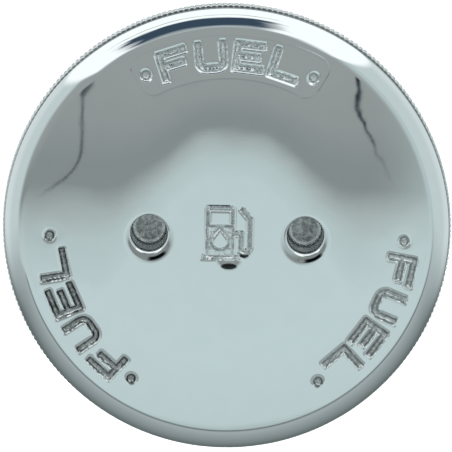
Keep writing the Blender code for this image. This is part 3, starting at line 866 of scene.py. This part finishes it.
def bend_down(bm, start, steps=12):
    """Bends a plate along +X down through a right angle."""
    neutral = TAB_BEND_RADIUS + TAB_THICKNESS / 2
    length = neutral * math.pi / 2
    for step in range(steps + 1):
        station = (start + length * step / steps, 0, 0)
        geometry = bm.verts[:] + bm.edges[:] + bm.faces[:]
        bmesh.ops.bisect_plane(bm, geom=geometry, dist=0.001, plane_co=station, plane_no=(1, 0, 0))
    for vertex in bm.verts:
        past = vertex.co.x - start
        if past <= 0:
            continue
        radius = TAB_BEND_RADIUS + vertex.co.z
        angle = min(past / neutral, math.pi / 2)
        vertex.co.x = start + radius * math.sin(angle)
        vertex.co.z = radius * math.cos(angle) - TAB_BEND_RADIUS - max(0.0, past - length)


def build_tab(material):
    """The stamped tab, its outline softened as a tumbled stamping's is."""
    bend_length = (TAB_BEND_RADIUS + TAB_THICKNESS / 2) * math.pi / 2
    hole = (TAB_BEND_START + bend_length + TAB_HOLE_DROP, 0.0)
    meet = math.degrees(math.asin(TAB_HALF_WIDTH / TAB_EYE_RADIUS))
    outline = arc(TAB_EYE_RADIUS, meet, 360 - meet, 48) + arc(TAB_HALF_WIDTH, -90, 90, 28, hole)
    holes = [circle(SHOULDER_RADIUS + 0.3, 56).tolist(), circle(TAB_HOLE_RADIUS, 40, hole).tolist()]
    bm = plate(outline, holes, TAB_THICKNESS)
    bend_down(bm, TAB_BEND_START)
    bmesh.ops.recalc_face_normals(bm, faces=bm.faces)
    bmesh.ops.transform(bm, matrix=Matrix.Translation((0, 0, TAB_BOTTOM)), verts=bm.verts)
    bmesh.ops.scale(bm, vec=(MM, MM, MM), verts=bm.verts)
    mesh = bpy.data.meshes.new("swivel_tab")
    bm.to_mesh(mesh)
    bm.free()
    tab = add_piece("swivel_tab", mesh, material, "tab", "chain_tab", sharp=40.0)
    soften = tab.modifiers.new("soften", "BEVEL")
    soften.width = 0.14 * MM
    soften.segments = 2
    soften.limit_method = "ANGLE"
    soften.angle_limit = math.radians(50.0)
    soften.harden_normals = True


def build_ring(material):
    """The split wire ring, hanging from its pivot in the tab's hole."""
    skin = Skin()
    pivot = np.array(RING_PIVOT)
    centre = pivot - np.array([0.0, 0.0, RING_RADIUS])
    steps, sides = 80, 18
    around = circle(1.0, sides)
    trims = {0: 0.62, 1: 0.9, steps - 1: 0.9, steps: 0.62}
    loops = []
    for step in range(steps + 1):
        turn = math.radians(RING_SLIT_ANGLE + RING_SLIT / 2 + (360.0 - RING_SLIT) * step / steps)
        out = np.array([math.cos(turn), 0.0, math.sin(turn)])
        wire = RING_WIRE_RADIUS * trims.get(step, 1.0)
        section = around[:, :1] * wire * out + around[:, 1:] * wire * np.array([0.0, 1.0, 0.0])
        loops.append(skin.add(centre + out * RING_RADIUS + section))
    for near, far in zip(loops, loops[1:]):
        skin.strip(near, far)
    skin.faces.append(loops[0][::-1].tolist())
    skin.faces.append(loops[-1].tolist())
    skin.piece("split_ring", material, "ring", "chain_ring", sharp=50.0)


# ---- materials


class Value:
    """A number or a colour in a node tree, with its graph: arithmetic on it adds math nodes."""

    def __init__(self, graph, socket):
        self.graph, self.socket = graph, socket

    def __add__(self, other):
        return self.graph.math("ADD", self, other)

    def __sub__(self, other):
        return self.graph.math("SUBTRACT", self, other)

    def __rsub__(self, other):
        return self.graph.math("SUBTRACT", other, self)

    def __mul__(self, other):
        return self.graph.math("MULTIPLY", self, other)

    def __truediv__(self, other):
        return self.graph.math("DIVIDE", self, other)

    def __abs__(self):
        return self.graph.math("ABSOLUTE", self)

    def at_least(self, low):
        return self.graph.math("MAXIMUM", self, low)


class Graph:
    """Adds nodes to a tree and wires them: an input may be a Value or a plain value."""

    def __init__(self, tree):
        self.tree = tree

    def feed(self, node, inputs):
        for key, value in inputs.items():
            if isinstance(value, Value):
                self.tree.links.new(value.socket, node.inputs[key])
            else:
                node.inputs[key].default_value = value

    def node(self, kind, inputs, **settings):
        made = self.tree.nodes.new(kind)
        for key, value in settings.items():
            setattr(made, key, value)
        self.feed(made, inputs)
        return made

    def value(self, kind, inputs, output=0, **settings):
        return Value(self, self.node(kind, inputs, **settings).outputs[output])

    def math(self, operation, first, second=0.0, clamp=False):
        return self.value("ShaderNodeMath", {0: first, 1: second}, operation=operation, use_clamp=clamp)

    def step(self, value, low, high, to_low=0.0, to_high=1.0):
        return self.value("ShaderNodeMapRange", {
            "Value": value, "From Min": low, "From Max": high, "To Min": to_low, "To Max": to_high,
        }, "Result", interpolation_type="SMOOTHSTEP")

    def mix(self, share, first, second):
        return self.value("ShaderNodeMix", {0: share, 6: first, 7: second}, 2, data_type="RGBA")

    def ramp(self, value, stops):
        made = self.node("ShaderNodeValToRGB", {0: value})
        elements = made.color_ramp.elements
        while len(elements) < len(stops):
            elements.new(0.5)
        for element, (place, colour) in zip(elements, stops):
            element.position = place
            element.color = (*colour, 1.0)
        return Value(self, made.outputs[0])

    def noise(self, vector, scale, detail=2.0, roughness=0.5):
        return self.value("ShaderNodeTexNoise", {
            "Vector": vector, "Scale": scale, "Detail": detail, "Roughness": roughness,
        })

    def stretched(self, vector, scale, turn=(0.0, 0.0, 0.0)):
        return self.value("ShaderNodeMapping", {"Vector": vector, "Scale": scale, "Rotation": turn})

    def bump(self, height, distance, below=None):
        inputs = {"Height": height, "Distance": distance, "Strength": 1.0}
        if below is not None:
            inputs["Normal"] = below
        return self.value("ShaderNodeBump", inputs)


def new_material(name):
    """A material, its graph, its shader and the place on the object in millimetres."""
    material = bpy.data.materials.new(name)
    material.use_nodes = True
    graph = Graph(material.node_tree)
    place = graph.value("ShaderNodeTexCoord", {}, "Object")
    millimetres = graph.stretched(place, (1 / MM, 1 / MM, 1 / MM))
    return material, graph, material.node_tree.nodes["Principled BSDF"], millimetres


def chrome_tone(graph, mask, cast, darkening, haze, grain):
    """The plate's colour: polished, as cast, darker where the mask is above 1, or painted dark where it is
    below 0, as painted reflections and painted shade.
    """
    as_cast = graph.ramp(grain, [
        (0.3, (0.56, 0.56, 0.55)), (0.5, (0.76, 0.77, 0.77)), (0.68, (0.85, 0.87, 0.87))])
    polished = graph.mix(haze, (0.80, 0.825, 0.83, 1.0), (0.84, 0.86, 0.862, 1.0))
    # A darker tone where the mask is above 1: the lower words' floors and the holes' floors.
    dark_tone = graph.ramp(grain, [(0.35, (0.05, 0.048, 0.046)), (0.65, (0.13, 0.125, 0.115))])
    painted_dark_share = graph.math("MULTIPLY", mask, -1.0, clamp=True)
    tone = graph.mix(darkening, graph.mix(cast, polished, as_cast), dark_tone)
    # The near-black mixed in here is painted: painted dark reflections and painted shade.
    return graph.mix(painted_dark_share, tone, (0.006, 0.007, 0.01, 1.0))


def chrome_material():
    """Hand-polished chrome plate, which the mask makes rough as cast, or dark.

    The dark patches on the holes' lips and under the symbol are painted: they stand in for dark
    reflections, which the smooth lips here don't catch. The dark crease above the knurl is painted shade.
    """
    material, graph, shader, place = new_material("chrome_plate")
    mask = graph.value("ShaderNodeAttribute", {}, "Fac", attribute_name="cast_skin")
    cast = graph.math("MINIMUM", mask.at_least(0.0), 1.0)
    patches = graph.step(graph.noise(place, 1.5, 2.0), 0.36, 0.6, 0.7, 1.15)
    darkening = graph.math("MULTIPLY", mask - 1.0, patches, clamp=True)
    swirl = graph.noise(graph.stretched(place, (0.5, 9.0, 9.0), (0.0, 0.0, 0.6)), 1.0, 3.0)
    haze = graph.noise(place, 0.35, 3.0)
    grain = graph.noise(place, 2.6, 3.5, 0.6)
    specks = graph.step(graph.noise(place, 1.7, 1.0), 0.72, 0.78)
    rough = graph.step(haze, 0.3, 0.7, 0.012, 0.035) + specks * 0.04 + swirl * 0.01
    rough = rough + cast * graph.step(grain, 0.3, 0.7, 0.05, 0.17) + darkening * 0.12
    wave = graph.bump(graph.noise(place, 0.11, 2.0), 0.012 * MM)
    lines = graph.bump(swirl, 0.0004 * MM, wave)
    graph.feed(shader, {
        "Base Color": chrome_tone(graph, mask, cast, darkening, haze, grain),
        "Roughness": rough,
        "Metallic": 1.0,
        "Normal": graph.bump(grain * cast, 0.07 * MM, lines),
    })
    return material


def rubber_material():
    """Black nitrile: satin, faintly dusty, with a moulded grain."""
    material, graph, shader, place = new_material("black_nitrile")
    dust = graph.noise(place, 0.6, 5.0, 0.6)
    graph.feed(shader, {
        "Base Color": graph.ramp(dust, [(0.42, (0.013, 0.013, 0.014)), (0.75, (0.034, 0.033, 0.031))]),
        "Roughness": graph.step(dust, 0.3, 0.75, 0.4, 0.62),
        "Specular IOR Level": 0.42,
        "Normal": graph.bump(graph.noise(place, 6.0, 3.0), 0.012 * MM),
    })
    return material


def steel_material(name, lines, distance):
    """Tumbled stainless steel; lines stretches the marks that its making left."""
    material, graph, shader, place = new_material(name)
    marks = graph.noise(graph.stretched(place, lines), 1.0, 4.0, 0.6)
    tumble = graph.noise(place, 2.6, 3.0)
    graph.feed(shader, {
        "Base Color": graph.ramp(tumble, [(0.3, (0.52, 0.51, 0.49)), (0.7, (0.68, 0.67, 0.65))]),
        "Roughness": graph.step(marks, 0.25, 0.75, 0.17, 0.31) + tumble * 0.08,
        "Metallic": 1.0,
        "Normal": graph.bump(tumble, 0.006 * MM, graph.bump(marks, distance)),
    })
    return material


def nylon_material():
    """Natural nylon: milky, with fine turning marks round its axis."""
    material, graph, shader, place = new_material("white_nylon")
    cloud = graph.noise(place, 0.9, 4.0)
    rings = graph.value("ShaderNodeTexWave", {"Vector": place, "Scale": 1.6, "Distortion": 0.6}, "Fac",
                        wave_type="RINGS", rings_direction="Z")
    graph.feed(shader, {
        "Base Color": graph.ramp(cloud, [(0.3, (0.74, 0.71, 0.63)), (0.7, (0.84, 0.82, 0.76))]),
        "Roughness": graph.step(cloud, 0.3, 0.7, 0.36, 0.5),
        "Subsurface Weight": 0.15,
        "Subsurface Scale": 0.6 * MM,
        "Normal": graph.bump(rings, 0.01 * MM),
    })
    return material


def floor_material():
    material, graph, shader, place = new_material("studio_floor")
    mottle = graph.noise(place, 0.02, 2.0)
    graph.feed(shader, {
        "Base Color": graph.ramp(mottle, [(0.3, (0.86, 0.865, 0.865)), (0.7, (0.885, 0.89, 0.89))]),
        "Roughness": 0.9,
        "Specular IOR Level": 0.1,
    })
    return material


# ---- studio


PALE = (0.585, 0.70, 0.705)
DIM = (0.50, 0.60, 0.61)
SIDE = (0.61, 0.70, 0.71)
SCREEN = (0.345, 0.38, 0.375)
SHADE = (0.275, 0.31, 0.31)
SLATE = (0.14, 0.165, 0.175)
INK = (0.03, 0.035, 0.05)
KNURL_GLOW = (0.62, 0.67, 0.68)
NAVY = (0.045, 0.075, 0.115)
WHITE = (1.15, 1.2, 1.2)
BACKDROP = (0.92, 0.94, 0.945)


def ramp_by_angle(graph, degrees, stops):
    """A colour ramp by the angle from straight up: 0 overhead, 180 straight down."""
    return graph.ramp(degrees / 180.0, [(angle / 180.0, colour) for angle, colour in stops])


def left_seam(graph, across, along):
    """The screen's left seam: a hairline that bends outward below, under a small open notch."""
    bend = (-0.01 - along).at_least(0.0)
    gap = abs(across + (bend * bend * 8.5 + 0.2465))
    notch = (along - 0.075).at_least(0.0) * 0.6
    ends = graph.step(along, 0.106, 0.1) * graph.step(along, -0.105, -0.085)
    return graph.step(gap - notch, 0.0035, 0.001) * ends


def right_seam(graph, across, along, sky):
    """The screen's right seam: a jagged gap that leans outward below and closes up."""
    jag = (graph.noise(sky, 45.0, 1.0) - 0.5) * 0.014
    lean = (0.062 - along).at_least(0.0) * 0.483
    gap = abs(across - (lean + 0.2335 + jag))
    width = graph.step(along, -0.02, 0.09, 0.0006, 0.003)
    ends = graph.step(along, 0.128, 0.122) * graph.step(along, -0.09, 0.02)
    return graph.step(gap - width, 0.0018, 0.0) * ends


def build_screen(graph, sky, across, along, ripple):
    """The grey screen's colour, and how far a direction is past its lower edge, which arches."""
    rise = graph.step(abs(across - 0.015), 0.235, 0.03)
    past = (along + 0.105 - (rise * 0.123 + ripple * 0.04)) * (rise * 0.5 + 0.5)
    share = graph.math("DIVIDE", past + 0.08, 0.2, clamp=True)
    colour = graph.ramp(share, [
        (0.0, PALE), (0.22, (0.53, 0.635, 0.64)), (0.35, (0.44, 0.50, 0.50)), (0.46, SHADE),
        (0.56, SHADE), (0.75, (0.325, 0.36, 0.355)), (1.0, SCREEN),
    ])
    colour = graph.mix(left_seam(graph, across, along) * 0.8, colour, (*INK, 1.0))
    return graph.mix(right_seam(graph, across, along, sky), colour, (*INK, 1.0)), past


def tent_sides(graph, angle, bearing):
    upper = [(0, PALE), (24, PALE), (28, DIM), (33, SIDE), (70, SIDE), (95, (0.72, 0.80, 0.81))]
    left = ramp_by_angle(graph, angle, upper + [(150, (0.75, 0.8, 0.81)), (168, KNURL_GLOW)])
    right = ramp_by_angle(graph, angle, upper + [
        (134, (0.72, 0.80, 0.81)), (146, SLATE), (163, SLATE), (168, KNURL_GLOW)])
    return graph.mix(graph.step(bearing, 0.1, 0.4), left, right)


def tent_back(graph, wavy, wavy_bearing):
    """The wall at +Y: white, with a dark gap in its middle."""
    lower = [(140, WHITE), (150, SLATE), (163, SLATE), (168, KNURL_GLOW)]
    plain = ramp_by_angle(graph, wavy, [
        (0, PALE), (17, SCREEN), (21, (0.60, 0.66, 0.69)), (25, WHITE)] + lower)
    gap = ramp_by_angle(graph, wavy, [
        (0, PALE), (17, SCREEN), (21, (0.50, 0.56, 0.59)), (25, (0.30, 0.34, 0.36)),
        (29, NAVY), (57, NAVY), (62, WHITE), (72, WHITE), (75, SCREEN), (78, WHITE),
    ] + lower)
    in_gap = graph.step(wavy_bearing, -0.66, -0.52) * graph.step(wavy_bearing, 0.36, 0.16)
    return graph.mix(in_gap, plain, gap)


def tent_front(graph, angle):
    return ramp_by_angle(graph, angle, [
        (0, PALE), (22, (0.61, 0.73, 0.735)), (29, PALE), (31, (0.14, 0.17, 0.18)),
        (34, (0.42, 0.47, 0.48)), (50, (0.34, 0.39, 0.40)), (75, (0.26, 0.30, 0.31)),
        (110, (0.16, 0.19, 0.19)), (180, (0.13, 0.15, 0.15)),
    ])


def build_world():
    """A light tent: pale walls, a grey screen overhead with two seams, a dark gap at +Y.

    Its parts were placed by what the chrome reflects at the main view.
    """
    world = bpy.data.worlds.new("light_tent")
    world.use_nodes = True
    bpy.context.scene.world = world
    graph = Graph(world.node_tree)
    sky = graph.value("ShaderNodeTexCoord", {}, "Generated")
    axes = graph.node("ShaderNodeSeparateXYZ", {0: sky}).outputs
    across, along, up = (Value(graph, axis) for axis in axes)
    ripple = graph.noise(sky, 7.0, 2.0) - 0.5
    angle = graph.math("ARCCOSINE", up) * (180.0 / math.pi)
    wavy = angle + ripple * 9.0
    flat = graph.math("SQRT", 1.0001 - up * up)
    toward, bearing = along / flat, across / flat
    back = tent_back(graph, wavy, bearing + ripple * 0.25)
    at_back = graph.step(bearing, -0.83, -0.79) * graph.step(bearing, 0.73, 0.69)
    at_back = at_back * graph.step(toward, 0.0, 0.1)
    colour = graph.mix(at_back, tent_sides(graph, angle, bearing), back)
    colour = graph.mix(graph.step(toward, -0.15, -0.55), colour, tent_front(graph, angle))
    screen, past = build_screen(graph, sky, across, along, ripple)
    side_reach = graph.step(angle - graph.step(across, 0.0, -0.15, 0.0, 17.0), 28.0, 15.0)
    back_reach = graph.step(wavy, 20.5, 18.5)
    reach = (back_reach - side_reach) * at_back + side_reach
    colour = graph.mix(graph.step(past, -0.085, -0.07) * reach, colour, screen)
    seen = graph.value("ShaderNodeLightPath", {}, "Is Camera Ray")
    colour = graph.mix(seen, colour, (*BACKDROP, 1.0))
    graph.feed(world.node_tree.nodes["Background"], {"Color": colour, "Strength": 1.0})


def add_floor():
    bm = bmesh.new()
    bmesh.ops.create_grid(bm, x_segments=4, y_segments=4, size=FLOOR_HALF * MM)
    mesh = bpy.data.meshes.new("studio_floor")
    bm.to_mesh(mesh)
    bm.free()
    mesh.materials.append(floor_material())
    floor = bpy.data.objects.new("studio_floor", mesh)
    bpy.context.scene.collection.objects.link(floor)
    floor.visible_glossy = False


def add_light(name, place, size, watts, glossy):
    data = bpy.data.lights.new(name, "AREA")
    data.shape = "DISK"
    data.size = size * MM
    data.energy = watts
    light = bpy.data.objects.new(name, data)
    light.location = Vector(place) * MM
    light.rotation_mode = "QUATERNION"
    light.rotation_quaternion = light.location.to_track_quat("Z", "Y")
    light.visible_glossy = glossy
    bpy.context.scene.collection.objects.link(light)


def add_camera():
    tilt, azimuth, roll = (math.radians(a) for a in (CAMERA_TILT, CAMERA_AZIMUTH, CAMERA_ROLL))
    back = Vector((math.sin(tilt) * math.cos(azimuth), math.sin(tilt) * math.sin(azimuth), math.cos(tilt)))
    right = Vector((-math.sin(roll), math.cos(roll), 0.0)).cross(back).normalized()
    up = back.cross(right)
    data = bpy.data.cameras.new("camera")
    data.lens = CAMERA_LENS
    data.clip_start, data.clip_end = 0.05, 20.0
    camera = bpy.data.objects.new("camera", data)
    place = Vector((0.0, 0.0, CAP_HEIGHT)) + back * CAMERA_DISTANCE
    place += right * CAMERA_SHIFT[0] + up * CAMERA_SHIFT[1]
    camera.matrix_world = Matrix.Translation(place * MM) @ Matrix((right, up, back)).transposed().to_4x4()
    bpy.context.scene.collection.objects.link(camera)
    bpy.context.scene.camera = camera


def build_studio():
    build_world()
    add_floor()
    add_light("softbox_left", (-450.0, 350.0, 900.0), 1300.0, 14.0, False)
    add_light("softbox_right", (450.0, -250.0, 900.0), 1300.0, 14.0, False)
    add_camera()
    view = bpy.context.scene.view_settings
    view.view_transform = "Standard"
    view.look = "None"


def build_pieces():
    build_casting(chrome_material())
    build_seal(rubber_material())
    turned = steel_material("turned_steel", (9.0, 9.0, 0.4), 0.004 * MM)
    stamped = steel_material("stamped_steel", (0.4, 9.0, 9.0), 0.004 * MM)
    drawn = steel_material("drawn_steel", (6.0, 6.0, 6.0), 0.002 * MM)
    build_screw(turned)
    build_washer(nylon_material())
    build_tab(stamped)
    build_ring(drawn)


build_pieces()
build_studio()
